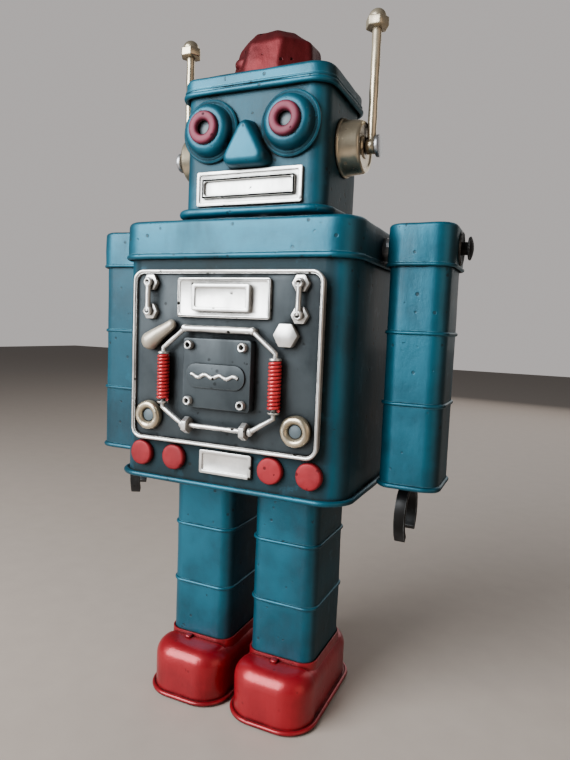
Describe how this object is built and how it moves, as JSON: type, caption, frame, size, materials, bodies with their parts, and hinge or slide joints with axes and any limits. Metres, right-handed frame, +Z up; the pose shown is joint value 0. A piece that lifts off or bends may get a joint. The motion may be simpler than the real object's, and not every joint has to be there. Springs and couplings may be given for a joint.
{
  "type": "toy robot",
  "caption": "Standing sheet-metal toy robot with a swivelling head, swinging arms that end in open ring grips, hinged antennas and a fixed control panel.",
  "frame": {"origin": "on the floor, under the middle of the whole robot from front to back and from side to side; the torso, shoulder, neck and ear axes lie at y = +3.65 mm", "axes": "+Z up, the face looks along -Y, +X is to the right of someone who faces it; names ending in _l are on the -X side and names ending in _r on the +X side"},
  "size_m": [0.2064, 0.1016, 0.3473],
  "materials": {
    "teal_paint": "worn teal paint with dark antiquing",
    "slate_paint": "dark slate paint",
    "silver_finish": "dry-brushed silver paint",
    "champagne_metal": "warm silver metallic",
    "red_paint": "glossy deep red paint",
    "button_paint": "soft red paint",
    "eye_ring_paint": "worn pink-red paint",
    "dark_metal": "blackened steel",
    "plain_steel": "plain steel"
  },
  "bodies": {
    "torso": {"torso_shell": "teal_paint", "torso_lid": "teal_paint", "torso_base": "teal_paint", "panel_plate": "slate_paint", "panel_rim": "silver_finish", "meter_plate": "silver_finish", "lower_frame": "silver_finish", "handle_bars": "silver_finish", "cone_knob": "champagne_metal", "box_cover": "slate_paint", "box_tubes": "silver_finish", "oval_plate": "slate_paint", "wave_strip": "silver_finish", "loop_top": "silver_finish", "loop_bottom": "silver_finish", "springs": "red_paint", "ring_knobs": "champagne_metal", "buttons": "button_paint", "small_nuts": "silver_finish", "large_nuts": "plain_steel", "hex_bolts": "silver_finish", "flat_screws": "plain_steel", "shoulder_axle": "dark_metal", "shoulder_spacers": "plain_steel", "neck_spacer": "plain_steel", "leg_shell_l": "teal_paint", "leg_shell_r": "teal_paint", "shoe_toe_l": "red_paint", "shoe_toe_r": "red_paint", "shoe_heel_l": "red_paint", "shoe_heel_r": "red_paint", "shoe_sole_l": "red_paint", "shoe_sole_r": "red_paint"},
    "head": {"head_base": "teal_paint", "head_shell": "teal_paint", "head_lid": "teal_paint", "eye_cups": "teal_paint", "eye_rings": "eye_ring_paint", "eye_rivets": "plain_steel", "nose": "teal_paint", "mouth_plate": "silver_finish", "ear_drums": "champagne_metal", "ear_pins": "plain_steel", "beacon": "red_paint"},
    "antenna_left": {"antenna_l": "champagne_metal", "acorn_nut_l": "champagne_metal"},
    "antenna_right": {"antenna_r": "champagne_metal", "acorn_nut_r": "champagne_metal"},
    "arm_left": {"arm_shell_l": "teal_paint", "arm_cap_l": "teal_paint", "arm_end_l": "teal_paint", "arm_washer_l": "dark_metal"},
    "arm_right": {"arm_shell_r": "teal_paint", "arm_cap_r": "teal_paint", "arm_end_r": "teal_paint", "arm_washer_r": "dark_metal"},
    "grip_left": {"hand_l": "dark_metal"},
    "grip_right": {"hand_r": "dark_metal"}
  },
  "joints": [
    {"name": "head_swivel", "type": "hinge", "parent": "torso", "child": "head", "pos_m": [0, 0.00365, 0.249], "axis": [0, 0, 1], "range_deg": [-90, 90]},
    {"name": "antenna_left_pivot", "type": "hinge", "parent": "head", "child": "antenna_left", "pos_m": [-0.05225, 0.00365, 0.2828], "axis": [1, 0, 0], "range_deg": [-80, 80]},
    {"name": "antenna_right_pivot", "type": "hinge", "parent": "head", "child": "antenna_right", "pos_m": [0.05225, 0.00365, 0.2828], "axis": [1, 0, 0], "range_deg": [-80, 80]},
    {"name": "shoulder_left", "type": "hinge", "parent": "torso", "child": "arm_left", "pos_m": [-0.082, 0.00365, 0.2334], "axis": [1, 0, 0], "continuous": true},
    {"name": "shoulder_right", "type": "hinge", "parent": "torso", "child": "arm_right", "pos_m": [0.082, 0.00365, 0.2334], "axis": [1, 0, 0], "continuous": true},
    {"name": "wrist_left", "type": "hinge", "parent": "arm_left", "child": "grip_left", "pos_m": [-0.082, 0.00365, 0.1232], "axis": [0, 0, 1], "continuous": true},
    {"name": "wrist_right", "type": "hinge", "parent": "arm_right", "child": "grip_right", "pos_m": [0.0795, 0.00365, 0.1232], "axis": [0, 0, 1], "continuous": true}
  ]
}
